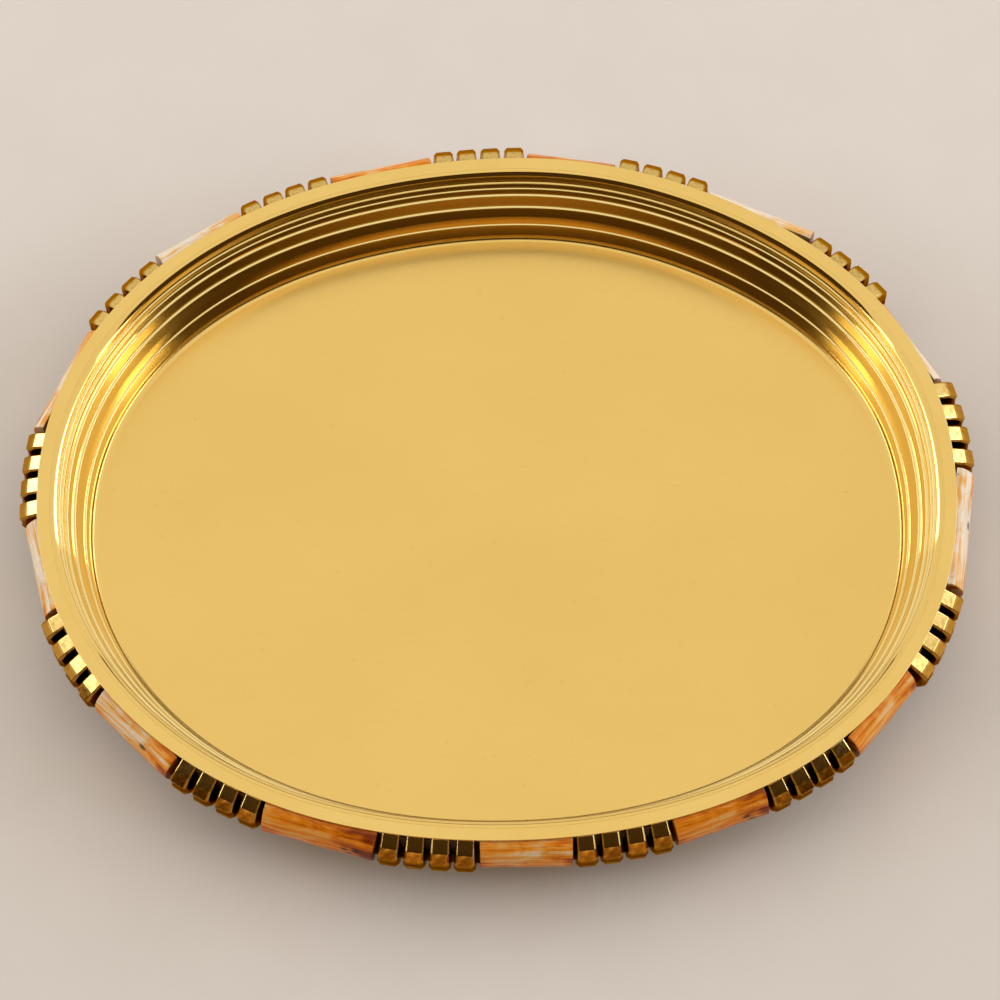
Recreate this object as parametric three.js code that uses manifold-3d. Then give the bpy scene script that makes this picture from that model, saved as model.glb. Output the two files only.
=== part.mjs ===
// Oval brass serving tray with a belt of faceted brass ribs and bone pieces round its side.
// Millimetres, +Z up. The tray rests on z = 0 with the origin under the middle of the pan.
import * as THREE from "three";
import { mergeVertices } from "three/addons/utils/BufferGeometryUtils.js";
import Module from "manifold-3d";

const wasm = await Module();
wasm.setup();

// ---------- Driving dimensions ----------
const HALF_LENGTH = 192; // middle of the tray to the rim's outer edge, along X
const HALF_WIDTH = 153.2; // the same across Y
const OVAL_POWER = 2.1; // 2 is a true ellipse, and more is squarer at the corners
const EGG_LENGTHWISE = -0.0028; // the slight egg shape of a hand-formed oval
const EGG_CROSSWISE = -0.0035;
// Slow waves left in the edge by hand forming: how many go round, their height and where one crests.
const WAVES = [
  { count: 4, height: 0.3, crest: THREE.MathUtils.degToRad(-17) },
  { count: 5, height: 0.37, crest: THREE.MathUtils.degToRad(20) },
  { count: 6, height: 0.24, crest: THREE.MathUtils.degToRad(21) },
  { count: 7, height: 0.22, crest: THREE.MathUtils.degToRad(22) },
];
const TRAY_HEIGHT = 41; // table to the top face of the rim
const GAP = 0.3; // clearance between pieces that meet

const SHEET = 1.3; // wall of the pan
const FLOOR = 1.6; // thickness of the pan's floor
const RIM_WIDTH = 6.5; // flat band round the mouth: the pan's lip and the rim ring
const RIM_THICKNESS = 1.1;
const FLANGE_WIDTH = 1.7; // the pan's flange that carries the ring's inner edge
const FLANGE_THICKNESS = 1.2;

const LIP_SLANT = { inset: 1.9, depth: 1.4 }; // the slant that rounds the flat rim into the wall
// The inside wall steps down in ledges. Each has its inner edge's distance from the mouth,
// its depth below the rim and the width of its tread.
const LEDGES = [
  { inset: 2.5, depth: 6.9, tread: 0.6 },
  { inset: 3.2, depth: 10.7, tread: 0.6 },
  { inset: 4.7, depth: 14.1, tread: 0.6 },
  { inset: 7.6, depth: 20.4, tread: 0.5 },
  { inset: 10.9, depth: 31, tread: 0.8 },
];
const FLOOR_INSET = 12.9; // mouth to the floor's edge

const HOOP_THICKNESS = 1.2; // the hidden band that carries the belt
const HOOP_SHELF = 7; // the hoop's foot, under the ribs and the bone pieces
const BELT_TOP = RIM_THICKNESS + GAP; // depth of the belt's top and bottom below the rim
const BELT_BOTTOM = 18.8;

const RIB_WIDTH = 9.3;
const RIB_GAP = 0.8; // between the ribs of a comb
const RIB_CHAMFER = 1.8; // cut from a rib's side edges, along it and into it
const RIBS_PER_COMB = 4;
const COMB_STRIP = 1.6; // the strip that joins a comb's ribs behind their faces
// A rib's outside from top to bottom: distance past the rim's outer edge, and depth below the rim.
// Two slants shed down to a face that is waisted above its lower lip.
const RIB_FACE = [
  [0.9, BELT_TOP],
  [5.2, 3.8],
  [8.8, 6.8],
  [8.4, 12.4],
  [8.8, 14.4],
  [8.3, 16.4],
  [6.2, BELT_BOTTOM],
];

const BONE_RADIUS = 12.4; // round face of a bone piece
const BONE_AXIS_DEPTH = 11.8;
const BONE_TOP_LAND = 0.6; // least width of the flat top
const BONE_ARC_STEPS = 10;
const BACK_CHECKS = 8; // places along a bone piece where its back is kept off the hoop

// The belt's units, anticlockwise from the +X end: each is a comb of ribs and the hand-cut bone
// piece after it. Given are how much further than usual the ribs stand out, the length of the
// bone piece, and how far its round face stands out past the rim at its first and second end.
const BELT = [
  { ribs: 0.7, length: 42, reach: [6.9, 4.4] },
  { ribs: -0.5, length: 48.4, reach: [10.2, 5.6] },
  { ribs: -0.5, length: 38.4, reach: [5.9, 7] },
  { ribs: -0.2, length: 44, reach: [7.8, 7.8] },
  { ribs: -0.8, length: 40.2, reach: [7.4, 9.5] },
  { ribs: -1.2, length: 49.9, reach: [5.9, 8.1] },
  { ribs: -0.7, length: 41.2, reach: [6.6, 6] },
  { ribs: -0.5, length: 42.5, reach: [7.1, 8.3] },
  { ribs: 0.2, length: 47.2, reach: [8.7, 9] },
  { ribs: 0.7, length: 37.5, reach: [7.5, 8.6] },
  { ribs: 0.4, length: 39.7, reach: [7.8, 7.9] },
  { ribs: -0.2, length: 38.5, reach: [8, 6.3] },
  { ribs: 0, length: 52.9, reach: [8.4, 9.6] },
];
const FIRST_COMB_DISTANCE = 28.8; // along the rim's edge, from the +X end to the first comb

const OVAL_STEPS = 72; // facets round the pan, ring and hoop
const MEASURING_STEPS = 1440; // steps used to measure along the oval
const SAME_POINT = 1e-4; // vertices closer than this are one

// ---------- Materials ----------
function finish(color, roughness, metalness) {
  return new THREE.MeshStandardMaterial({ color, roughness, metalness });
}
const polishedBrass = () => finish(0xe6bf66, 0.3, 1);
const agedBrass = () => finish(0xb98532, 0.25, 1);
const stainedBone = () => finish(0xb9682c, 0.35, 0);

// ---------- The oval ----------
function ovalPoint(angle) {
  const along = Math.abs(Math.cos(angle)) / HALF_LENGTH;
  const across = Math.abs(Math.sin(angle)) / HALF_WIDTH;
  const reach = (along ** OVAL_POWER + across ** OVAL_POWER) ** (-1 / OVAL_POWER);
  const egg = 1 + EGG_LENGTHWISE * Math.cos(3 * angle) + EGG_CROSSWISE * Math.sin(3 * angle);
  const heights = WAVES.map(({ count, height, crest }) => height * Math.cos(count * (angle - crest)));
  const wave = heights.reduce((sum, part) => sum + part, 0);
  return new THREE.Vector2(Math.cos(angle), Math.sin(angle)).multiplyScalar(reach * egg + wave);
}

function ovalNormal(angle) {
  const nudge = 0.001;
  const tangent = ovalPoint(angle + nudge).sub(ovalPoint(angle - nudge)).normalize();
  return new THREE.Vector2(tangent.y, -tangent.x);
}

// Distances along the rim's outer edge, anticlockwise from the +X end.
const MEASURING_STEP = (2 * Math.PI) / MEASURING_STEPS;
const measuredAngles = Array.from({ length: MEASURING_STEPS + 1 }, (_, i) => i * MEASURING_STEP);
const measuredDistances = [0];
for (let i = 1; i <= MEASURING_STEPS; i += 1) {
  const step = ovalPoint(measuredAngles[i]).distanceTo(ovalPoint(measuredAngles[i - 1]));
  measuredDistances.push(measuredDistances[i - 1] + step);
}
const PERIMETER = measuredDistances[MEASURING_STEPS];

function angleAtDistance(distance) {
  const wrapped = ((distance % PERIMETER) + PERIMETER) % PERIMETER;
  const next = measuredDistances.findIndex((d) => d > wrapped);
  const before = measuredDistances[next - 1];
  const share = (wrapped - before) / (measuredDistances[next] - before);
  return THREE.MathUtils.lerp(measuredAngles[next - 1], measuredAngles[next], share);
}

// A local frame on the rim's edge: x points outwards, y up and z clockwise along the edge.
function edgeFrame(point, outward) {
  const out = new THREE.Vector3(outward.x, outward.y, 0);
  const up = new THREE.Vector3(0, 0, 1);
  const frame = new THREE.Matrix4().makeBasis(out, up, out.clone().cross(up));
  return frame.setPosition(point.x, point.y, TRAY_HEIGHT);
}

function offsetPoint(distance, out) {
  const angle = angleAtDistance(distance);
  return ovalPoint(angle).addScaledVector(ovalNormal(angle), out);
}

function frameAtDistance(distance) {
  const angle = angleAtDistance(distance);
  return edgeFrame(ovalPoint(angle), ovalNormal(angle));
}

// ---------- Shape helpers ----------
function placed(name, geometry, material, frame) {
  const mesh = new THREE.Mesh(geometry, material);
  mesh.name = name;
  if (frame) {
    frame.decompose(mesh.position, mesh.quaternion, mesh.scale);
  }
  return mesh;
}

function toSolid(geometry) {
  const bare = geometry.clone();
  bare.deleteAttribute("normal");
  bare.deleteAttribute("uv");
  const merged = mergeVertices(bare, SAME_POINT);
  return new wasm.Manifold(
    new wasm.Mesh({
      numProp: 3,
      vertProperties: new Float32Array(merged.attributes.position.array),
      triVerts: new Uint32Array(merged.index.array),
    }),
  );
}

function fromSolid(solid) {
  const mesh = solid.getMesh();
  const geometry = new THREE.BufferGeometry();
  geometry.setAttribute("position", new THREE.BufferAttribute(mesh.vertProperties, 3));
  geometry.setIndex(new THREE.BufferAttribute(mesh.triVerts, 1));
  geometry.computeVertexNormals();
  return geometry;
}

// Turns a section into a ring or dish that follows the oval. A section point is
// [distance outside the rim's outer edge, depth below the rim's top]. Inside the floor's
// edge the points close in on the middle, so a section may end on the axis.
const CORE = 100; // section radius that lies on the rim's outer edge
const FLOOR_EDGE = -(RIM_WIDTH + FLOOR_INSET);
function sweepRoundOval(section) {
  const profile = section.map(([out, depth]) => new THREE.Vector2(CORE + out, -depth));
  const geometry = new THREE.LatheGeometry(profile, OVAL_STEPS);
  const position = geometry.attributes.position;
  for (let i = 0; i < position.count; i += 1) {
    const sideways = position.getX(i);
    const forwards = position.getZ(i);
    const height = position.getY(i);
    const radius = Math.hypot(sideways, forwards);
    const angle = Math.atan2(sideways, forwards);
    const out = Math.max(radius - CORE, FLOOR_EDGE);
    const place = ovalPoint(angle).addScaledVector(ovalNormal(angle), out);
    place.multiplyScalar(radius / (CORE + out));
    position.setXYZ(i, place.x, place.y, height + TRAY_HEIGHT);
  }
  geometry.deleteAttribute("normal");
  geometry.deleteAttribute("uv");
  return mergeVertices(geometry, SAME_POINT);
}

// ---------- Pan ----------
function makePan() {
  const inside = [
    [-RIM_WIDTH, 0],
    [-RIM_WIDTH - LIP_SLANT.inset, LIP_SLANT.depth],
  ];
  const outside = [[-RIM_WIDTH + SHEET, FLANGE_THICKNESS + BELT_TOP]];
  for (const { inset, depth, tread } of LEDGES) {
    const treadEnds = [-RIM_WIDTH - inset + tread, -RIM_WIDTH - inset];
    inside.push(...treadEnds.map((out) => [out, depth]));
    outside.push(...treadEnds.map((out) => [out + SHEET, depth + SHEET]));
  }
  const floorDepth = TRAY_HEIGHT - FLOOR;
  const section = [
    [-CORE, floorDepth],
    [FLOOR_EDGE, floorDepth],
    ...inside.reverse(),
    [-RIM_WIDTH + SHEET, 0],
    [-RIM_WIDTH + SHEET, BELT_TOP],
    [-RIM_WIDTH + SHEET + FLANGE_WIDTH, BELT_TOP],
    [-RIM_WIDTH + SHEET + FLANGE_WIDTH, BELT_TOP + FLANGE_THICKNESS],
    ...outside,
    [FLOOR_EDGE + SHEET, TRAY_HEIGHT],
    [-CORE, TRAY_HEIGHT],
  ];
  return placed("tray_pan", sweepRoundOval(section.reverse()), polishedBrass());
}

// ---------- Rim ring ----------
function makeRimRing() {
  const inner = -RIM_WIDTH + SHEET + GAP;
  const section = [
    [inner, 0],
    [inner, RIM_THICKNESS],
    [0, RIM_THICKNESS],
    [0, 0],
    [inner, 0],
  ];
  return placed("rim_ring", sweepRoundOval(section), polishedBrass());
}

// ---------- Hoop: the band and foot that hold the belt ----------
const HOOP_INNER = -RIM_WIDTH + SHEET + FLANGE_WIDTH + GAP;
const HOOP_OUTER = HOOP_INNER + HOOP_THICKNESS;
function makeBeltHoop() {
  const shelfTop = BELT_BOTTOM + GAP;
  const section = [
    [HOOP_INNER, BELT_TOP],
    [HOOP_INNER, shelfTop + HOOP_THICKNESS],
    [HOOP_INNER + HOOP_SHELF, shelfTop + HOOP_THICKNESS],
    [HOOP_INNER + HOOP_SHELF, shelfTop],
    [HOOP_OUTER, shelfTop],
    [HOOP_OUTER, BELT_TOP],
    [HOOP_INNER, BELT_TOP],
  ];
  return placed("belt_hoop", sweepRoundOval(section), agedBrass());
}

// ---------- Belt: combs of four ribs, with a bone piece after each ----------
const BELT_BACK = HOOP_OUTER + GAP;
const RIB_PITCH = RIB_WIDTH + RIB_GAP;
const COMB_LENGTH = RIBS_PER_COMB * RIB_PITCH - RIB_GAP;

function ribGeometry(extraReach) {
  const usualReach = Math.max(...RIB_FACE.map(([out]) => out));
  const stretch = 1 + extraReach / usualReach;
  const outside = RIB_FACE.map(([out, down]) => new THREE.Vector2(out * stretch, -down));
  const face = new THREE.Shape([
    new THREE.Vector2(BELT_BACK, -BELT_TOP),
    new THREE.Vector2(BELT_BACK, -BELT_BOTTOM),
    ...outside.reverse(),
  ]);
  const depth = RIB_WIDTH - 2 * RIB_CHAMFER;
  const geometry = new THREE.ExtrudeGeometry(face, {
    depth,
    bevelThickness: RIB_CHAMFER,
    bevelSize: RIB_CHAMFER,
    bevelOffset: -RIB_CHAMFER,
    bevelSegments: 1,
  });
  return geometry.translate(0, 0, -depth / 2);
}

function makeRibComb(name, middle, extraReach) {
  const combFrame = frameAtDistance(middle);
  const intoComb = combFrame.clone().invert();
  const stripHeight = BELT_BOTTOM - BELT_TOP - 2 * RIB_CHAMFER;
  const strip = new THREE.BoxGeometry(COMB_STRIP, stripHeight, (RIBS_PER_COMB - 1) * RIB_PITCH);
  strip.translate(BELT_BACK + COMB_STRIP / 2, -(BELT_TOP + BELT_BOTTOM) / 2, 0);
  let comb = toSolid(strip);
  for (let i = 0; i < RIBS_PER_COMB; i += 1) {
    const along = (i - (RIBS_PER_COMB - 1) / 2) * RIB_PITCH;
    const ribFrame = intoComb.clone().multiply(frameAtDistance(middle + along));
    comb = comb.add(toSolid(ribGeometry(extraReach).applyMatrix4(ribFrame)));
  }
  return placed(name, fromSolid(comb), agedBrass(), combFrame);
}

// A straight length of split bone: flat at the back, top and bottom, and round outside.
// Its two ends may stand out by different amounts, so the piece lies slightly askew.
function makeBonePiece(name, start, { length, reach }) {
  const edgeEnds = [start, start + length].map((distance) => ovalPoint(angleAtDistance(distance)));
  const faceEnds = [start, start + length].map((distance, i) => offsetPoint(distance, reach[i]));
  const run = faceEnds[1].clone().sub(faceEnds[0]);
  const outward = new THREE.Vector2(run.y, -run.x).normalize();
  const middle = faceEnds[0].clone().add(faceEnds[1]).multiplyScalar(0.5);
  // The flat back just clears the hoop, which bulges most behind the middle of the piece.
  let back = -Infinity;
  for (let i = 0; i <= BACK_CHECKS; i += 1) {
    const hoopPoint = offsetPoint(start + (length * i) / BACK_CHECKS, HOOP_OUTER);
    back = Math.max(back, hoopPoint.sub(middle).dot(outward) + GAP);
  }
  // The round face stops at the flat top, or sooner where the piece is thin.
  const thinAngle = Math.acos((BONE_RADIUS + back + BONE_TOP_LAND) / BONE_RADIUS);
  const topAngle = Math.min(Math.asin((BONE_AXIS_DEPTH - BELT_TOP) / BONE_RADIUS), thinAngle);
  const bottomAngle = -Math.asin((BELT_BOTTOM - BONE_AXIS_DEPTH) / BONE_RADIUS);
  const topDepth = BONE_AXIS_DEPTH - BONE_RADIUS * Math.sin(topAngle);
  const section = new THREE.Shape();
  section.moveTo(back, -BELT_BOTTOM);
  section.absarc(-BONE_RADIUS, -BONE_AXIS_DEPTH, BONE_RADIUS, bottomAngle, topAngle);
  section.lineTo(back, -topDepth);
  const depth = edgeEnds[0].distanceTo(edgeEnds[1]);
  const geometry = new THREE.ExtrudeGeometry(section, {
    depth,
    bevelEnabled: false,
    curveSegments: BONE_ARC_STEPS,
  });
  geometry.translate(0, 0, -depth / 2);
  return placed(name, geometry, stainedBone(), edgeFrame(middle, outward));
}

function makeBelt() {
  const filled = BELT.reduce((sum, unit) => sum + COMB_LENGTH + unit.length, 0);
  const gap = (PERIMETER - filled) / (2 * BELT.length);
  const belt = new THREE.Group();
  let combMiddle = FIRST_COMB_DISTANCE;
  BELT.forEach((unit, i) => {
    const number = String(i + 1).padStart(2, "0");
    const boneStart = combMiddle + COMB_LENGTH / 2 + gap;
    belt.add(makeRibComb(`rib_comb_${number}`, combMiddle, unit.ribs));
    belt.add(makeBonePiece(`bone_piece_${number}`, boneStart, unit));
    combMiddle = boneStart + unit.length + gap + COMB_LENGTH / 2;
  });
  return belt;
}

// ---------- Tray ----------
const tray = new THREE.Group();
tray.add(makePan(), makeRimRing(), makeBeltHoop(), makeBelt());

export default tray;
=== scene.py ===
import math
import random

import bmesh
import bpy
from mathutils import Matrix, Vector, noise


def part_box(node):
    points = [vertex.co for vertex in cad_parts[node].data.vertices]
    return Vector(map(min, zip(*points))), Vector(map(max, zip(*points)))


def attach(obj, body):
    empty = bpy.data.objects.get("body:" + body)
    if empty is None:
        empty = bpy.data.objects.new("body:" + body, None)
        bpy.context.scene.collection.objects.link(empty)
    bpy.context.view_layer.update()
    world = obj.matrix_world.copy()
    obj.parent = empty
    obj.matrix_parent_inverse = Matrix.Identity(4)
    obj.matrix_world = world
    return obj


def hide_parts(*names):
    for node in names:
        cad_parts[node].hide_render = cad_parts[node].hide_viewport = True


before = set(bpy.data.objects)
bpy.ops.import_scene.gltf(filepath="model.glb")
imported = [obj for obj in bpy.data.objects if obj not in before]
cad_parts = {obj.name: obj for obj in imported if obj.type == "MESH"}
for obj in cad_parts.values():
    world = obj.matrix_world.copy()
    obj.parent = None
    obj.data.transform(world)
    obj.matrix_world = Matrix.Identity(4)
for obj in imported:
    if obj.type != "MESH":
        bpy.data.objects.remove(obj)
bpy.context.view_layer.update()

MM = 0.001  # one millimetre in metres

# ---------- Sizes taken from the frame, in metres ----------
TRAY_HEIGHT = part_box("rim_ring")[1][2]

# ---------- Sizes in millimetres, the CAD part's unless a comment says otherwise ----------
HALF_LENGTH = 192
HALF_WIDTH = 153.2
OVAL_POWER = 2.1  # 2 is an ellipse, and more is squarer
EGG_LENGTHWISE = -0.0028
EGG_CROSSWISE = -0.0035
# Slow waves left in the edge by hand forming: how many go round, their height, where one crests.
WAVES = [(4, 0.3, -17), (5, 0.37, 20), (6, 0.24, 21), (7, 0.22, 22)]
OVAL_STEPS = 720  # finer than the CAD part's
MEASURING_STEPS = 1440

# Offsets are measured outwards from the rim's outer edge, and depths down from its top.
RIM_WIDTH = 6.5
LIP_WIDTH = 1.3
RIM_THICKNESS = 1.1
GAP = 0.3
SHEET = 1.3
FLOOR_THICKNESS = 1.6
FLANGE_WIDTH = 1.7
FLANGE_THICKNESS = 1.2
FLOOR_INSET = 12.9
HOOP_THICKNESS = 1.2
HOOP_SHELF = 7
BELT_TOP = RIM_THICKNESS + GAP
BELT_BOTTOM = 18.8
HEIGHT = TRAY_HEIGHT / MM
FLOOR_DEPTH = HEIGHT - FLOOR_THICKNESS

RIB_WIDTH = 9.3
RIB_GAP = 0.8
RIB_PITCH = RIB_WIDTH + RIB_GAP
RIB_CHAMFER = 1.8
RIBS_PER_COMB = 4
COMB_STRIP = 1.6
# A rib's face from the rim down, as (how far out, depth). It starts further in than the CAD part's.
RIB_FACE = [
    (0.1, BELT_TOP),
    (5.2, 3.8),
    (8.8, 6.8),
    (8.4, 12.4),
    (8.8, 14.4),
    (8.3, 16.4),
    (6.2, BELT_BOTTOM),
]
RIB_REACH = max(out for out, depth in RIB_FACE)
HOOP_INNER = -RIM_WIDTH + SHEET + FLANGE_WIDTH + GAP
HOOP_OUTER = HOOP_INNER + HOOP_THICKNESS
BELT_BACK = HOOP_OUTER + GAP
COMB_LENGTH = RIBS_PER_COMB * RIB_PITCH - RIB_GAP
FIRST_COMB_DISTANCE = 28.8

BONE_RADIUS = 12.4
BONE_AXIS_DEPTH = 11.8
BONE_HALF_HEIGHT = 9  # rounded up, and only used to place the colours

# The belt's units, each a comb of ribs and the bone piece after it: how much further than
# usual the ribs stand out, the bone's length, how far it stands out at its two ends, how
# cream (1) or amber (0) it is at each end, how much whiter its top is, as a painted highlight
# above painted shade towards its bottom, and its dark knots as places along the piece (-1 to 1)
# and up its face (-1 to 1).
BELT = [
    dict(ribs=0.7, length=42, reach=(6.9, 4.4), cream=(0.75, 0.35), top=0.4, knots=[(-0.5, 0.4)]),
    dict(ribs=-0.5, length=48.4, reach=(10.2, 5.6), cream=(0.3, 0.85), top=0.5, knots=[(0.6, 0.3)]),
    dict(ribs=-0.5, length=38.4, reach=(5.9, 7), cream=(0.1, 0.15), top=0.1, knots=[]),
    dict(ribs=-0.2, length=44, reach=(7.8, 7.8), cream=(0.15, 0.3), top=0.3, knots=[(-0.7, 0.2)]),
    dict(ribs=-0.8, length=40.2, reach=(7.4, 9.5), cream=(0.25, 0.8), top=0.5, knots=[]),
    dict(ribs=-1.2, length=49.9, reach=(5.9, 8.1), cream=(0.2, 0.55), top=0.4, knots=[(0.8, 0.5)]),
    dict(ribs=-0.7, length=41.2, reach=(6.6, 6), cream=(0.6, 0.5), top=0.4, knots=[]),
    dict(ribs=-0.5, length=42.5, reach=(7.1, 8.3), cream=(0.45, 0.1), top=0.5, knots=[(0.3, 0.6)]),
    dict(
        ribs=0.2,
        length=47.2,
        reach=(8.7, 9),
        cream=(0.45, -0.1),
        top=0.1,
        knots=[(0.5, 0.3), (0.6, 0.1), (0.7, 0.4)],
    ),
    dict(ribs=0.7, length=37.5, reach=(7.5, 8.6), cream=(0.25, 0.2), top=0.35, knots=[]),
    dict(
        ribs=0.4,
        length=39.7,
        reach=(7.8, 7.9),
        cream=(0.25, 0),
        top=0.2,
        knots=[(0.5, 0.4), (0.62, 0.1)],
    ),
    dict(ribs=-0.2, length=38.5, reach=(8, 6.3), cream=(0.2, 0.15), top=0.3, knots=[]),
    dict(ribs=0, length=52.9, reach=(8.4, 9.6), cream=(0.5, 0.75), top=0.4, knots=[(0.1, 0.5)]),
]


# ---------- The oval, in metres ----------
def oval_point(angle):
    """A point on the rim's outer edge."""
    along = abs(math.cos(angle)) / HALF_LENGTH
    across = abs(math.sin(angle)) / HALF_WIDTH
    reach = (along**OVAL_POWER + across**OVAL_POWER) ** (-1 / OVAL_POWER)
    egg = 1 + EGG_LENGTHWISE * math.cos(3 * angle) + EGG_CROSSWISE * math.sin(3 * angle)
    wave = sum(
        height * math.cos(count * (angle - math.radians(crest)))
        for count, height, crest in WAVES
    )
    return Vector((math.cos(angle), math.sin(angle))) * (reach * egg + wave) * MM


def oval_normal(angle):
    """The direction straight out from the rim's edge."""
    nudge = 0.001
    tangent = (oval_point(angle + nudge) - oval_point(angle - nudge)).normalized()
    return Vector((tangent.y, -tangent.x))


# How far round the edge each measuring step has come.
measured = [0.0]
for i in range(MEASURING_STEPS):
    step = 2 * math.pi / MEASURING_STEPS
    measured.append(measured[-1] + (oval_point((i + 1) * step) - oval_point(i * step)).length)
PERIMETER = measured[-1]


def angle_at(distance):
    """The angle on the oval at a distance along the rim's outer edge, anticlockwise from +X."""
    wrapped = distance % PERIMETER
    after = next(i for i, d in enumerate(measured) if d > wrapped)
    share = (wrapped - measured[after - 1]) / (measured[after] - measured[after - 1])
    return (after - 1 + share) * 2 * math.pi / MEASURING_STEPS


def offset_point(distance, out):
    """The point a distance along the rim's edge and some way outside it."""
    angle = angle_at(distance)
    return oval_point(angle) + oval_normal(angle) * out


def edge_frame(point, outward):
    """A local frame at the rim's top edge: x outwards, y anticlockwise along the edge, z up."""
    out = Vector((outward.x, outward.y, 0))
    up = Vector((0, 0, 1))
    along = up.cross(out)
    placed = Matrix((out, along, up)).transposed().to_4x4()
    placed.translation = Vector((point.x, point.y, TRAY_HEIGHT))
    return placed


# ---------- Mesh helpers ----------
def new_object(name, mesh_maker):
    """A smooth-shaded object whose mesh the given function builds."""
    mesh = bpy.data.meshes.new(name)
    bm = bmesh.new()
    mesh_maker(bm)
    bmesh.ops.recalc_face_normals(bm, faces=bm.faces)
    bm.to_mesh(mesh)
    bm.free()
    mesh.shade_smooth()
    piece = bpy.data.objects.new(name, mesh)
    bpy.context.scene.collection.objects.link(piece)
    return piece


def rounded(corners, steps=5):
    """A section with its corners rounded. Each corner is (out, depth, radius), in millimetres."""
    points = []
    for i, (x, y, radius) in enumerate(corners):
        here = Vector((x, y))
        if radius == 0:
            points.append(here)
            continue
        before = (Vector(corners[i - 1][:2]) - here).normalized()
        after = (Vector(corners[(i + 1) % len(corners)][:2]) - here).normalized()
        half = before.angle(after) / 2
        reach = radius / math.tan(half)
        centre = here + (before + after).normalized() * radius / math.sin(half)
        first = here + before * reach - centre
        last = here + after * reach - centre
        sweep = first.angle_signed(last)
        for k in range(steps + 1):
            turn = Matrix.Rotation(-sweep * k / steps, 2)
            points.append(centre + turn @ first)
    return points


def sweep_round_oval(bm, section, closed):
    """Carries a section of (out, depth) millimetres round the oval, as one ring of corners for
    each step. The two ends of an open section are left for fill_floor to close."""
    rings = []
    for k in range(OVAL_STEPS):
        angle = 2 * math.pi * k / OVAL_STEPS
        base = oval_point(angle)
        normal = oval_normal(angle)
        ring = []
        for out, depth in section:
            place = base + normal * out * MM
            ring.append(bm.verts.new((place.x, place.y, TRAY_HEIGHT - depth * MM)))
        rings.append(ring)
    count = len(section)
    for k in range(OVAL_STEPS):
        here = rings[k]
        there = rings[(k + 1) % OVAL_STEPS]
        for j in range(count if closed else count - 1):
            nxt = (j + 1) % count
            bm.faces.new((here[j], there[j], there[nxt], here[nxt]))
    return rings


def fill_floor(bm, rim_verts, shares):
    """Closes a flat oval loop with smaller rings, each a share of its size, and a middle point."""
    loop = rim_verts
    height = rim_verts[0].co.z
    for share in shares:
        inner = [bm.verts.new((v.co.x * share, v.co.y * share, height)) for v in rim_verts]
        for k in range(len(loop)):
            after = (k + 1) % len(loop)
            bm.faces.new((loop[k], loop[after], inner[after], inner[k]))
        loop = inner
    middle = bm.verts.new((0, 0, height))
    for k in range(len(loop)):
        bm.faces.new((loop[k], loop[(k + 1) % len(loop)], middle))


# ---------- Material helpers ----------
class Shader:
    """A material with a short way to add and join nodes."""

    def __init__(self, name):
        self.material = bpy.data.materials.new(name)
        self.material.use_nodes = True
        self.tree = self.material.node_tree
        self.surface = self.tree.nodes["Principled BSDF"]
        self.place = self.add("ShaderNodeTexCoord").outputs["Object"]

    def add(self, kind, **settings):
        made = self.tree.nodes.new(kind)
        for key, value in settings.items():
            setattr(made, key, value)
        return made

    def feed(self, socket, value):
        """Joins a node's output to a socket, or sets the socket to a plain value."""
        if isinstance(value, bpy.types.NodeSocket):
            self.tree.links.new(value, socket)
        else:
            socket.default_value = value

    def stretch(self, scale, rotation=(0, 0, 0)):
        """The place on the object, scaled and turned. A larger scale makes a finer pattern."""
        made = self.add("ShaderNodeMapping")
        self.feed(made.inputs["Vector"], self.place)
        made.inputs["Scale"].default_value = scale
        made.inputs["Rotation"].default_value = rotation
        return made.outputs["Vector"]

    def noise(self, vector, scale=1.0, detail=4.0, rough=0.5, distortion=0.0):
        made = self.add("ShaderNodeTexNoise")
        self.feed(made.inputs["Vector"], vector)
        made.inputs["Scale"].default_value = scale
        made.inputs["Detail"].default_value = detail
        made.inputs["Roughness"].default_value = rough
        made.inputs["Distortion"].default_value = distortion
        return made.outputs["Fac"]

    def span(self, value, low, high, to_low=0.0, to_high=1.0):
        """Value from low..high mapped to to_low..to_high, clamped."""
        made = self.add("ShaderNodeMapRange")
        self.feed(made.inputs["Value"], value)
        made.inputs["From Min"].default_value = low
        made.inputs["From Max"].default_value = high
        made.inputs["To Min"].default_value = to_low
        made.inputs["To Max"].default_value = to_high
        return made.outputs["Result"]

    def math(self, operation, first, second=0.0):
        made = self.add("ShaderNodeMath", operation=operation)
        self.feed(made.inputs[0], first)
        self.feed(made.inputs[1], second)
        return made.outputs[0]

    def mix(self, share, first, second):
        made = self.add("ShaderNodeMix", data_type="RGBA")
        self.feed(made.inputs["Factor"], share)
        for socket, value in ((made.inputs[6], first), (made.inputs[7], second)):
            if isinstance(value, tuple):
                value = (*value, 1.0)
            self.feed(socket, value)
        return made.outputs[2]

    def split(self, vector):
        made = self.add("ShaderNodeSeparateXYZ")
        self.feed(made.inputs[0], vector)
        return made.outputs

    def bump(self, height, distance, strength=1.0, normal=None):
        made = self.add("ShaderNodeBump")
        self.feed(made.inputs["Height"], height)
        made.inputs["Distance"].default_value = distance
        made.inputs["Strength"].default_value = strength
        if normal:
            self.feed(made.inputs["Normal"], normal)
        return made.outputs["Normal"]

    def set(self, **values):
        """Feeds the surface shader's sockets, with _ for each space in their names."""
        for key, value in values.items():
            if isinstance(value, tuple) and len(value) == 3:
                value = (*value, 1.0)
            self.feed(self.surface.inputs[key.replace("_", " ")], value)
        return self.material


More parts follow.
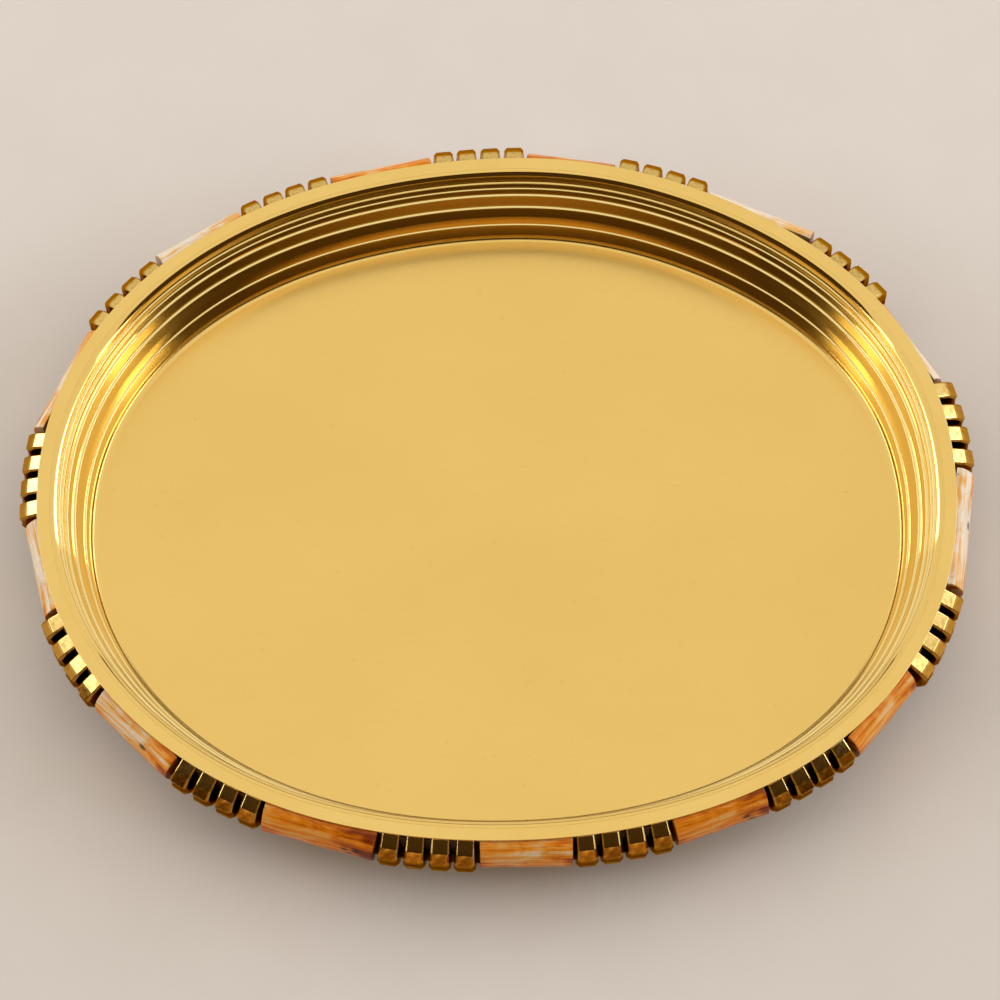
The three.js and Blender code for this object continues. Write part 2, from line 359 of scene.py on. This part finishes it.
# ---------- Materials ----------
TARNISH = (0.30, 0.17, 0.05)
BRASS_POLISHED = (0.80, 0.56, 0.18)
# Painted reflection: the amber that the ribs' lower facets would mirror from a warm floor.
BRASS_PAINTED_AMBER_REFLECTION = (0.46, 0.22, 0.03)
# Painted shade on the ribs' lower faces, in two bands.
BRASS_PAINTED_SHADE = (0.10, 0.045, 0.008)
# Painted reflection on the ribs' lower lip.
BRASS_LIP_PAINTED_REFLECTION = (0.34, 0.17, 0.028)
BRASS_SMOKED = (0.28, 0.15, 0.03)
# Painted shade on the ribs' sides and, darker, deep in the gaps between them.
BRASS_PAINTED_SIDE_SHADE = (0.16, 0.08, 0.02)
BRASS_PAINTED_SLOT_SHADE = (0.04, 0.02, 0.008)

BONE_BURNT = (0.20, 0.026, 0.001)
BONE_BROWN = (0.58, 0.13, 0.002)
BONE_ORANGE = (0.92, 0.29, 0.01)
BONE_HONEY = (0.93, 0.50, 0.12)
BONE_CREAM = (0.94, 0.82, 0.62)
BONE_FIBRE = (0.22, 0.035, 0.002)
BONE_KNOT = (0.035, 0.009, 0.002)
BONE_END_DARK = (0.10, 0.028, 0.006)


def brass(s, tone, roughness, brushing, depth=0.004, relief=None, wear=1.0):
    """Finishes a brass: fine brushing, hairline scratches and specks of tarnish. The brushing is
    depth millimetres deep, and wear (0 to 1) is how strongly it and the scratches show."""
    scratches = s.span(s.noise(s.stretch((700, 40, 700), (0, 0, 0.5)), 1, 2), 0.66, 0.72, 0, wear)
    specks = s.span(s.noise(s.place, 900, 2), 0.70, 0.78, 0, 0.3)
    tone = s.mix(specks, tone, TARNISH)
    unevenness = s.span(brushing, 0.3, 0.7, 1 - 0.2 * wear, 1 + 0.25 * wear)
    rough = s.math("MULTIPLY", roughness, unevenness)
    rough = s.math("ADD", rough, s.math("MULTIPLY", scratches, 0.05))
    relief = s.bump(brushing, depth * MM, 0.5, relief)
    relief = s.bump(scratches, -0.004 * MM, 0.5, relief)
    return s.set(Base_Color=tone, Metallic=1.0, Roughness=rough, Normal=relief)


def make_pan_brass():
    """Spun and polished on the wall, which is a little paler, and a softer satin on the floor."""
    s = Shader("pan_brass")
    height = s.split(s.place)[2]
    satin = s.span(height, (FLOOR_THICKNESS + 0.4) * MM, (FLOOR_THICKNESS + 1.6) * MM, 1, 0)
    clouds = s.span(s.noise(s.stretch((9, 14, 9)), 1, 3), 0.3, 0.7)
    streaks = s.span(s.noise(s.stretch((25, 300, 30)), 1, 4, 0.6), 0.4, 0.8, 0, 0.04)
    tone = s.mix(clouds, (0.86, 0.59, 0.18), (0.83, 0.565, 0.165))
    below_lip = s.span(height, TRAY_HEIGHT - 5 * MM, TRAY_HEIGHT - 3 * MM, 1, 0)
    tone = s.mix(s.math("SUBTRACT", below_lip, satin), tone, (0.89, 0.69, 0.28))
    tone = s.mix(streaks, tone, (0.66, 0.42, 0.11))
    roughness = s.span(satin, 0, 1, 0.07, 0.2)
    brushing = s.noise(s.stretch((90, 240, 90)), 1, 3, 0.6)
    return brass(s, tone, roughness, brushing, 0.0006, wear=0.2)


def make_rim_brass():
    """Brushed along the tray's length, and cloudy."""
    s = Shader("rim_brass")
    clouds = s.span(s.noise(s.place, 25, 3), 0.3, 0.7)
    tone = s.mix(clouds, (0.88, 0.62, 0.20), (0.84, 0.575, 0.17))
    brushing = s.noise(s.stretch((30, 900, 900)), 1, 3, 0.6)
    return brass(s, tone, 0.17, brushing)


def make_rib_brass():
    """Polished on top, with painted light further down: a painted amber reflection, bands of painted
    shade and a painted reflection on the lower lip, and painted shade on the ribs' sides and in the
    gaps between them. Its depth is in millimetres below the rim's top."""
    s = Shader("rib_brass")
    out, along, height = s.split(s.place)
    wander = s.span(s.noise(s.place, 260, 4, 0.6), 0.3, 0.7, -0.7, 0.7)
    depth = s.math("ADD", s.math("MULTIPLY", height, -1 / MM), wander)
    smoke = s.span(s.noise(s.place, 420, 5, 0.65), 0.42, 0.7)
    # Painted light by depth: a painted amber reflection from 3 mm, painted shade from 8.5 mm, a painted
    # reflection on the lower lip from 12.6 mm and painted shade again from 15.2 mm.
    tone = s.mix(s.span(depth, 3.0, 4.6), BRASS_POLISHED, BRASS_PAINTED_AMBER_REFLECTION)
    tone = s.mix(s.span(depth, 8.5, 11.0), tone, BRASS_PAINTED_SHADE)
    tone = s.mix(s.span(depth, 12.6, 13.6), tone, BRASS_LIP_PAINTED_REFLECTION)
    tone = s.mix(s.span(depth, 15.2, 16.2), tone, BRASS_PAINTED_SHADE)
    tone = s.mix(s.math("MULTIPLY", smoke, 0.4), tone, BRASS_SMOKED)
    # Painted shade on the ribs' sides, darkest at the back of the gaps between them.
    side = s.span(s.math("ABSOLUTE", along), 3.6 * MM, 4.4 * MM, 0, 0.8)
    behind = s.span(out, 0.5 * MM, 3.0 * MM, 1, 0)
    tone = s.mix(s.math("MULTIPLY", side, 0.6), tone, BRASS_PAINTED_SIDE_SHADE)
    painted_slot_shade = s.math("MULTIPLY", s.math("MULTIPLY", side, behind), 0.8)
    tone = s.mix(painted_slot_shade, tone, BRASS_PAINTED_SLOT_SHADE)
    roughness = s.span(smoke, 0, 1, 0.12, 0.24)
    hammering = s.bump(s.noise(s.place, 210, 1, 0.5), 0.16 * MM, 0.6)
    brushing = s.noise(s.stretch((200, 1500, 200)), 1, 3, 0.6)
    brass(s, tone, roughness, brushing, 0.008, hammering)
    return s.set(Specular_Tint=(0.80, 0.45, 0.12))


def make_hoop_painted_shade():
    """Dull, unpolished brass hidden behind the belt, darkened almost to black as painted shade where it
    shows in the belt's gaps.
    """
    s = Shader("hoop_brass")
    smoke = s.span(s.noise(s.place, 140, 5, 0.65), 0.4, 0.7)
    tone = s.mix(smoke, (0.20, 0.12, 0.04), (0.05, 0.028, 0.01))
    brushing = s.noise(s.stretch((200, 200, 900)), 1, 3, 0.6)
    return brass(s, tone, 0.5, brushing, 0.02)


def bone(name, look):
    """Polished stained bone: streaks along the piece, cream and amber areas, knots and pits. The
    share says how cream a place is, and along and up run from -1 to 1 over the piece."""
    s = Shader(name)
    along, up = s.split(s.place)[1:]
    half_length = look["length"] / 2
    along = s.math("DIVIDE", along, half_length * MM)
    up = s.math("DIVIDE", s.math("ADD", up, BONE_AXIS_DEPTH * MM), BONE_HALF_HEIGHT * MM)
    streaks = s.noise(s.stretch((260, 26, 420)), 1, 6, 0.62, 0.4)
    fibres = s.noise(s.stretch((1500, 70, 1900)), 1, 3, 0.6)
    clouds = s.noise(s.stretch((60, 45, 60)), 1, 3, 0.5, 0.6)
    share = s.span(along, -1, 1, look["cream"][0], look["cream"][1])
    # Painted light: whiter towards the top as a painted highlight and darker towards the bottom as
    # painted shade, by the look's top value.
    share = s.math("ADD", share, s.span(up, -0.2, 1.1, -0.25, look["top"]))
    share = s.math("ADD", share, s.span(streaks, 0.3, 0.7, -0.6, 0.6))
    share = s.math("ADD", share, s.span(clouds, 0.3, 0.7, -0.5, 0.5))
    tone = s.mix(s.span(share, -0.5, -0.1), BONE_BURNT, BONE_BROWN)
    tone = s.mix(s.span(share, -0.1, 0.3), tone, BONE_ORANGE)
    tone = s.mix(s.span(share, 0.3, 0.6), tone, BONE_HONEY)
    tone = s.mix(s.span(share, 0.6, 0.95), tone, BONE_CREAM)
    tone = s.mix(s.span(fibres, 0.5, 0.75, 0, 0.35), tone, BONE_FIBRE)
    dark = s.span(s.noise(s.stretch((900, 420, 900)), 1, 2), 0.70, 0.78, 0, 0.8)
    for knot_along, knot_up in look["knots"]:
        off_along = s.math("MULTIPLY", s.math("SUBTRACT", along, knot_along), half_length / 2.2)
        off_up = s.math("MULTIPLY", s.math("SUBTRACT", up, knot_up), BONE_HALF_HEIGHT / 1.6)
        squares = s.math("ADD", s.math("POWER", off_along, 2), s.math("POWER", off_up, 2))
        away = s.math("SQRT", squares)
        away = s.math("ADD", away, s.span(streaks, 0.3, 0.7, -0.6, 0.6))
        dark = s.math("MAXIMUM", dark, s.span(away, 0.35, 1.1, 0.85, 0.0))
    tone = s.mix(dark, tone, BONE_KNOT)
    # Darker towards both ends of the piece.
    dark_ends = s.span(s.math("ABSOLUTE", along), 0.985, 0.997, 0, 0.55)
    tone = s.mix(dark_ends, tone, BONE_END_DARK)
    relief = s.bump(fibres, 0.04 * MM, 0.7)
    relief = s.bump(dark, -0.12 * MM, 0.8, relief)
    rough = s.span(streaks, 0.3, 0.7, 0.25, 0.45)
    return s.set(
        Base_Color=tone,
        Roughness=rough,
        Normal=relief,
        Specular_IOR_Level=0.2,
    )


def paper(name):
    """The pale surface that the tray stands on."""
    s = Shader(name)
    mottle = s.span(s.noise(s.place, 30, 4), 0.3, 0.7)
    tone = s.mix(mottle, (0.80, 0.74, 0.65), (0.82, 0.76, 0.67))
    return s.set(Base_Color=tone, Roughness=0.8)


pan_brass = make_pan_brass()
rim_brass = make_rim_brass()
rib_brass = make_rib_brass()
hoop_brass = make_hoop_painted_shade()


def finish_piece(piece, material, slot, *nodes):
    """Gives a piece its material, parents it to the root body, and hides the CAD nodes that it
    replaces.
    """
    piece.data.materials.append(material)
    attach(piece, "root")
    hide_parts(*nodes)


# ---------- Pan ----------
MOUTH = -RIM_WIDTH


def wall_corner(inset, depth, radius):
    """A corner of the wall's section, with its inset measured inwards from the mouth."""
    return (MOUTH - inset, depth, radius)


def make_pan(bm):
    """The inside runs down from the lip over five ledges, and the outside up to the flange."""
    inside = [
        wall_corner(0, 0, 1.5),  # the rounded lip
        wall_corner(1.9, 1.27, 0.7),
        wall_corner(1.6, 6.8, 0.15),  # first ledge
        wall_corner(2.6, 6.9, 0.4),
        wall_corner(2.6, 10.6, 0.1),  # second ledge
        wall_corner(3.3, 10.7, 0.3),
        wall_corner(3.9, 14.0, 0.1),  # third ledge
        wall_corner(5.0, 14.1, 0.4),
        wall_corner(6.4, 20.2, 0.5),  # fourth ledge
        wall_corner(7.6, 20.4, 0.3),
        wall_corner(8.7, 26.5, 4.0),  # a slow bend
        wall_corner(10.0, 30.9, 0.1),  # fifth ledge
        wall_corner(10.8, 31.0, 0.4),
        wall_corner(12.5, 38.4, 1.0),  # the turn into the floor
        wall_corner(FLOOR_INSET, FLOOR_DEPTH, 0),
    ]
    outside = [
        wall_corner(FLOOR_INSET - SHEET, HEIGHT, 0),
        wall_corner(10.9 - SHEET, 32.3, 1.0),
        wall_corner(7.6 - SHEET, 21.7, 0.8),
        wall_corner(4.7 - SHEET, 15.4, 0.8),
        wall_corner(2.4 - SHEET, 8.2, 0.5),
        (MOUTH + LIP_WIDTH, BELT_TOP + FLANGE_THICKNESS, 0.1),
        (MOUTH + LIP_WIDTH + FLANGE_WIDTH, BELT_TOP + FLANGE_THICKNESS, 0.2),
        (MOUTH + LIP_WIDTH + FLANGE_WIDTH, BELT_TOP, 0.2),
        (MOUTH + LIP_WIDTH, BELT_TOP, 0.1),
        (MOUTH + LIP_WIDTH, 0, 0.02),
    ]
    section = rounded(outside + inside)
    rings = sweep_round_oval(bm, section, closed=False)
    floor_shares = [0.985, 0.96, 0.9, 0.8, 0.6, 0.4, 0.2, 0.05]
    fill_floor(bm, [ring[0] for ring in rings], floor_shares)
    fill_floor(bm, [ring[-1] for ring in rings], floor_shares)


finish_piece(new_object("pan", make_pan), pan_brass, "pan_brass", "tray_pan")

# ---------- Rim ring ----------
SEAM = 0.03  # the hairline between the pan's lip and the ring


def make_rim(bm):
    """The flat ring outside the pan's lip."""
    inner = MOUTH + LIP_WIDTH + SEAM
    section = rounded(
        [
            (inner, 0, 0.02),
            (inner, RIM_THICKNESS, 0.02),
            (0, RIM_THICKNESS, 0.2),
            (0, 0, 0.15),
        ]
    )
    sweep_round_oval(bm, section, closed=True)


finish_piece(new_object("rim", make_rim), rim_brass, "rim_brass", "rim_ring")


# ---------- Hoop ----------
def make_hoop(bm):
    """A wall behind the belt and a shelf under it."""
    shelf_top = BELT_BOTTOM + GAP
    section = rounded(
        [
            (HOOP_INNER, BELT_TOP, 0.1),
            (HOOP_INNER, shelf_top + HOOP_THICKNESS, 0.3),
            (HOOP_INNER + HOOP_SHELF, shelf_top + HOOP_THICKNESS, 0.3),
            (HOOP_INNER + HOOP_SHELF, shelf_top, 0.3),
            (HOOP_OUTER, shelf_top, 0.2),
            (HOOP_OUTER, BELT_TOP, 0.1),
        ]
    )
    sweep_round_oval(bm, section, closed=True)


finish_piece(new_object("hoop", make_hoop), hoop_brass, "hoop_brass", "belt_hoop")


# ---------- Ribs ----------
TOP_CHAMFER = 0.6  # a rib's side chamfers grow from this at the rim
FOOT_CHAMFER = 1.75  # to this at its foot
TOP_NARROWING = 1.1  # how much narrower than its foot a rib is at the rim, on each side
HAND_WORK = (0.15, 0.35)  # how far a rib's edges fall short of RIB_FACE
LEAN = 1.5  # how far a rib may be turned from straight out, in degrees


def inset_corner(before, here, after, distance):
    """A corner of an outline moved inwards, keeping both its edges parallel."""
    first = (here - before).normalized()
    second = (after - here).normalized()
    inward = Vector((-first.y, first.x)) + Vector((-second.y, second.x))
    return here + inward * distance / (1 + first.dot(second))


def make_rib(bm, extra_reach, dice):
    """One faceted rib: its full side profile in the middle, drawn in towards both sides,
    and a little narrower at the rim than at its foot."""
    stretch = 1 + extra_reach / RIB_REACH
    outline = [(BELT_BACK, BELT_TOP), (BELT_BACK, BELT_BOTTOM)]
    outline += [(out * stretch - dice.uniform(*HAND_WORK), depth) for out, depth in RIB_FACE[::-1]]
    profile = [Vector((out, -depth)) for out, depth in outline]
    shares_up = [(point.y + BELT_BOTTOM) / (BELT_BOTTOM - BELT_TOP) for point in profile]
    chamfers = [FOOT_CHAMFER + (TOP_CHAMFER - FOOT_CHAMFER) * share**1.5 for share in shares_up]
    halves = [RIB_WIDTH / 2 - TOP_NARROWING * share**2 for share in shares_up]
    # The flat back is not drawn in, and the foot and the rim end move straight back.
    drawn_in = list(profile)
    for k in range(3, len(profile) - 1):
        drawn_in[k] = inset_corner(profile[k - 1], profile[k], profile[k + 1], chamfers[k])
    drawn_in[2] = profile[2] + Vector((-FOOT_CHAMFER, 0))
    drawn_in[-1] = profile[-1] + Vector((-TOP_CHAMFER, 0))
    flats = [half - chamfer for half, chamfer in zip(halves, chamfers)]
    sides = [
        (-1, drawn_in, halves),
        (-1, profile, flats),
        (1, profile, flats),
        (1, drawn_in, halves),
    ]
    loops = []
    for side, points, reaches in sides:
        loop = []
        for point, reach in zip(points, reaches):
            loop.append(bm.verts.new((point.x * MM, side * reach * MM, point.y * MM)))
        loops.append(loop)
    for first, second in zip(loops, loops[1:]):
        for k in range(len(first)):
            after = (k + 1) % len(first)
            bm.faces.new((first[k], first[after], second[after], second[k]))
    bm.faces.new(loops[0])
    bm.faces.new(loops[-1])
    bmesh.ops.triangulate(bm, faces=[f for f in bm.faces if len(f.verts) > 4])


def soften(piece, width, segments=3):
    """Rounds a piece's edges, by a width in millimetres."""
    bevel = piece.modifiers.new("edges", "BEVEL")
    bevel.width = width * MM
    bevel.segments = segments
    bevel.limit_method = "ANGLE"
    bevel.angle_limit = math.radians(6)
    bevel.harden_normals = True


def make_comb(number, middle, extra_reach):
    """Four ribs and the strip behind them, round a place along the rim's edge."""
    node = f"rib_comb_{number:02d}"
    dice = random.Random(number)
    for i in range(RIBS_PER_COMB):
        distance = middle + (i - (RIBS_PER_COMB - 1) / 2) * RIB_PITCH * MM
        angle = angle_at(distance)
        rib = new_object(f"rib_{number:02d}_{i + 1}", lambda bm: make_rib(bm, extra_reach, dice))
        lean = Matrix.Rotation(math.radians(dice.uniform(-LEAN, LEAN)), 4, "Z")
        rib.matrix_world = edge_frame(oval_point(angle), oval_normal(angle)) @ lean
        soften(rib, 0.3)
        finish_piece(rib, rib_brass, "rib_brass", node)
    middle_angle = angle_at(middle)
    length = (RIBS_PER_COMB - 1) * RIB_PITCH / 2 * MM

    def make_strip(bm):
        section = [
            (BELT_BACK, BELT_TOP + RIB_CHAMFER),
            (BELT_BACK, BELT_BOTTOM - RIB_CHAMFER),
            (BELT_BACK + COMB_STRIP, BELT_BOTTOM - RIB_CHAMFER),
            (BELT_BACK + COMB_STRIP, BELT_TOP + RIB_CHAMFER),
        ]
        loops = []
        for end in (-length, length):
            loops.append([bm.verts.new((out * MM, end, -depth * MM)) for out, depth in section])
        for k in range(len(section)):
            after = (k + 1) % len(section)
            bm.faces.new((loops[0][k], loops[0][after], loops[1][after], loops[1][k]))
        bm.faces.new(loops[0])
        bm.faces.new(loops[1])

    strip = new_object(f"comb_strip_{number:02d}", make_strip)
    strip.matrix_world = edge_frame(oval_point(middle_angle), oval_normal(middle_angle))
    soften(strip, 0.2, 2)
    # The strip takes the hoop's near-black brass, painted shade for the gaps between the ribs.
    finish_piece(strip, hoop_brass, "rib_brass", node)


# ---------- Bone pieces ----------
BONE_SLICES = 48
FACE_STEPS = 28
BACK_STEPS = 8
BONE_END_ROUNDING = 0.5
BONE_LEAST_THICKNESS = 0.6
# The face's unevenness from hand work: how far it is cut back, its slow waves, its ripples.
FACE_DRAW = 0.22
WAVE_HEIGHT = 0.32
RIPPLE_HEIGHT = 0.05


def make_bone(number, start, look):
    """A straight piece with a round face, a flat back that clears the hoop, and a flat top and
    bottom. Its start is a distance along the rim's edge."""
    length = look["length"] * MM
    edge_ends = [oval_point(angle_at(start)), oval_point(angle_at(start + length))]
    face_ends = [
        offset_point(start, look["reach"][0] * MM),
        offset_point(start + length, look["reach"][1] * MM),
    ]
    run = face_ends[1] - face_ends[0]
    outward = Vector((run.y, -run.x)).normalized()
    middle = (face_ends[0] + face_ends[1]) / 2
    back = max(
        (offset_point(start + length * i / BACK_STEPS, HOOP_OUTER * MM) - middle).dot(outward) / MM
        + GAP
        for i in range(BACK_STEPS + 1)
    )
    half = (edge_ends[1] - edge_ends[0]).length / 2 / MM
    thin = math.acos((BONE_RADIUS + back + BONE_LEAST_THICKNESS) / BONE_RADIUS)
    top = min(math.asin((BONE_AXIS_DEPTH - BELT_TOP) / BONE_RADIUS), thin)
    bottom = -math.asin((BELT_BOTTOM - BONE_AXIS_DEPTH) / BONE_RADIUS)
    seed = Vector((number * 7.3, number * 3.1, 0))

    def make(bm):
        loops = []
        for k in range(BONE_SLICES + 1):
            along = -math.cos(math.pi * k / BONE_SLICES) * half
            from_end = half - abs(along)
            drawn = max(0.0, 1 - from_end / BONE_END_ROUNDING)
            draw_in = BONE_END_ROUNDING * (1 - math.sqrt(1 - drawn * drawn))
            points = [(back, -BELT_BOTTOM)]
            for j in range(FACE_STEPS + 1):
                turn = bottom + (top - bottom) * j / FACE_STEPS
                wave = noise.noise(Vector((along / 14, turn * 1.6, 0)) + seed)
                ripple = noise.noise(Vector((along / 4, turn * 7, 4)) + seed)
                radius = BONE_RADIUS - draw_in - FACE_DRAW - WAVE_HEIGHT * wave - RIPPLE_HEIGHT * ripple
                out = -BONE_RADIUS + radius * math.cos(turn)
                points.append((out, radius * math.sin(turn) - BONE_AXIS_DEPTH))
            points.append((back, points[-1][1]))
            loops.append([bm.verts.new((x * MM, along * MM, z * MM)) for x, z in points])
        count = len(loops[0])
        for first, second in zip(loops, loops[1:]):
            for j in range(count):
                after = (j + 1) % count
                bm.faces.new((first[j], first[after], second[after], second[j]))
        bm.faces.new(loops[0])
        bm.faces.new(loops[-1])

    piece = new_object(f"bone_{number:02d}", make)
    piece.matrix_world = edge_frame(middle, outward)
    piece.data.set_sharp_from_angle(angle=math.radians(40))
    finish_piece(piece, bone(f"bone_{number:02d}", look), "bone", f"bone_piece_{number:02d}")


def make_belt():
    """Combs and bone pieces by turns round the rim, with what is left of its length as gaps."""
    filled = sum(COMB_LENGTH + unit["length"] for unit in BELT) * MM
    gap = (PERIMETER - filled) / (2 * len(BELT))
    comb_length = COMB_LENGTH * MM
    comb_middle = FIRST_COMB_DISTANCE * MM
    for number, unit in enumerate(BELT, start=1):
        bone_start = comb_middle + comb_length / 2 + gap
        make_comb(number, comb_middle, unit["ribs"])
        make_bone(number, bone_start, unit)
        comb_middle = bone_start + unit["length"] * MM + gap + comb_length / 2


make_belt()


# ---------- Surface, lights and camera, in metres ----------
GROUND_REACH = 6.0


def make_ground(bm):
    corners = []
    for x, y in ((-1, -1), (1, -1), (1, 1), (-1, 1)):
        corners.append(bm.verts.new((x * GROUND_REACH, y * GROUND_REACH, 0)))
    bm.faces.new(corners)


ground = new_object("ground", make_ground)
ground.data.materials.append(paper("paper"))


def softbox(name, place, target, width, height, radiance, colour=(1, 1, 1)):
    """A rectangular light of even brightness. Its power follows from its area."""
    light = bpy.data.lights.new(name, "AREA")
    light.shape = "RECTANGLE"
    light.size = width
    light.size_y = height
    light.color = colour
    light.energy = radiance * math.pi * width * height
    holder = bpy.data.objects.new(name, light)
    facing = (Vector(target) - Vector(place)).to_track_quat("-Z", "Y")
    holder.matrix_world = Matrix.Translation(place) @ facing.to_matrix().to_4x4()
    bpy.context.scene.collection.objects.link(holder)


# The studio is a room of softboxes, white above, behind and at the sides, and warm in front.
ABOVE = 2.2
SIDE = 2.6
PANEL_SIDE = SIDE * 0.98  # where the brighter panels hang, just inside the side walls
UMBER = (1, 0.60, 0.05)
AMBER = (1, 0.62, 0.25)
WARM_WHITE = (1, 0.97, 0.92)
DAYLIGHT = (0.92, 0.95, 1.2)


def light_side(name, direction, glare):
    """One side of the room: a wall, a low warm panel, a window and a small panel near the front."""
    wall = direction * SIDE
    panel = direction * PANEL_SIDE
    softbox(f"{name}_wall", (wall, 1.5, ABOVE / 2), (0, 1.5, ABOVE / 2), 4.6, ABOVE, 0.9)
    softbox(f"{name}_low", (wall, -1.85, 0.65), (0, -1.85, 0.65), 1.9, 1.3, 0.25, UMBER)
    softbox(f"{name}_window", (panel, 0.35, 1.27), (0, 0.35, 1.27), 2.8, 0.67, glare, DAYLIGHT)
    softbox(f"{name}_corner", (panel, -0.75, 1.95), (0, -0.75, 1.95), 0.9, 0.45, 2.5)


softbox("overhead", (0, 1.35, ABOVE), (0, 1.35, 0), 2 * SIDE, 3.9, 0.9, WARM_WHITE)
light_side("left", -1, 3.4)
light_side("right", 1, 5.0)
softbox("back", (0, 3.8, 0.7), (0, 0, 0.7), 2 * SIDE, 1.4, 0.8)
softbox("front_low", (0, -3.0, 0.6), (0, 0, 0.6), 2 * SIDE, 1.2, 0.2, UMBER)
softbox("front_middle", (0, -3.0, 1.52), (0, 0, 1.52), 2 * SIDE, 0.45, 0.9, AMBER)

world = bpy.data.worlds.new("room")
world.use_nodes = True
background = world.node_tree.nodes["Background"]
background.inputs["Color"].default_value = (0.06, 0.035, 0.01, 1)
background.inputs["Strength"].default_value = 1.0
bpy.context.scene.world = world
bpy.context.scene.view_settings.view_transform = "Standard"

CAMERA_DISTANCE = 1.5168  # from the middle of the rim's plane
CAMERA_ELEVATION = math.radians(68)
CAMERA_ROLL = math.radians(-0.55)

camera_data = bpy.data.cameras.new("camera")
camera_data.lens = 130.8
camera_data.sensor_width = 36
camera_data.shift_x = 0.0015  # the photo's framing
camera_data.shift_y = -0.0117
camera = bpy.data.objects.new("camera", camera_data)
towards = Vector((0, -math.cos(CAMERA_ELEVATION), math.sin(CAMERA_ELEVATION)))
aim = (-towards).to_track_quat("-Z", "Y").to_matrix().to_4x4()
place = Vector((0, 0, TRAY_HEIGHT)) + towards * CAMERA_DISTANCE
camera.matrix_world = Matrix.Translation(place) @ aim @ Matrix.Rotation(CAMERA_ROLL, 4, "Z")
bpy.context.scene.collection.objects.link(camera)
bpy.context.scene.camera = camera
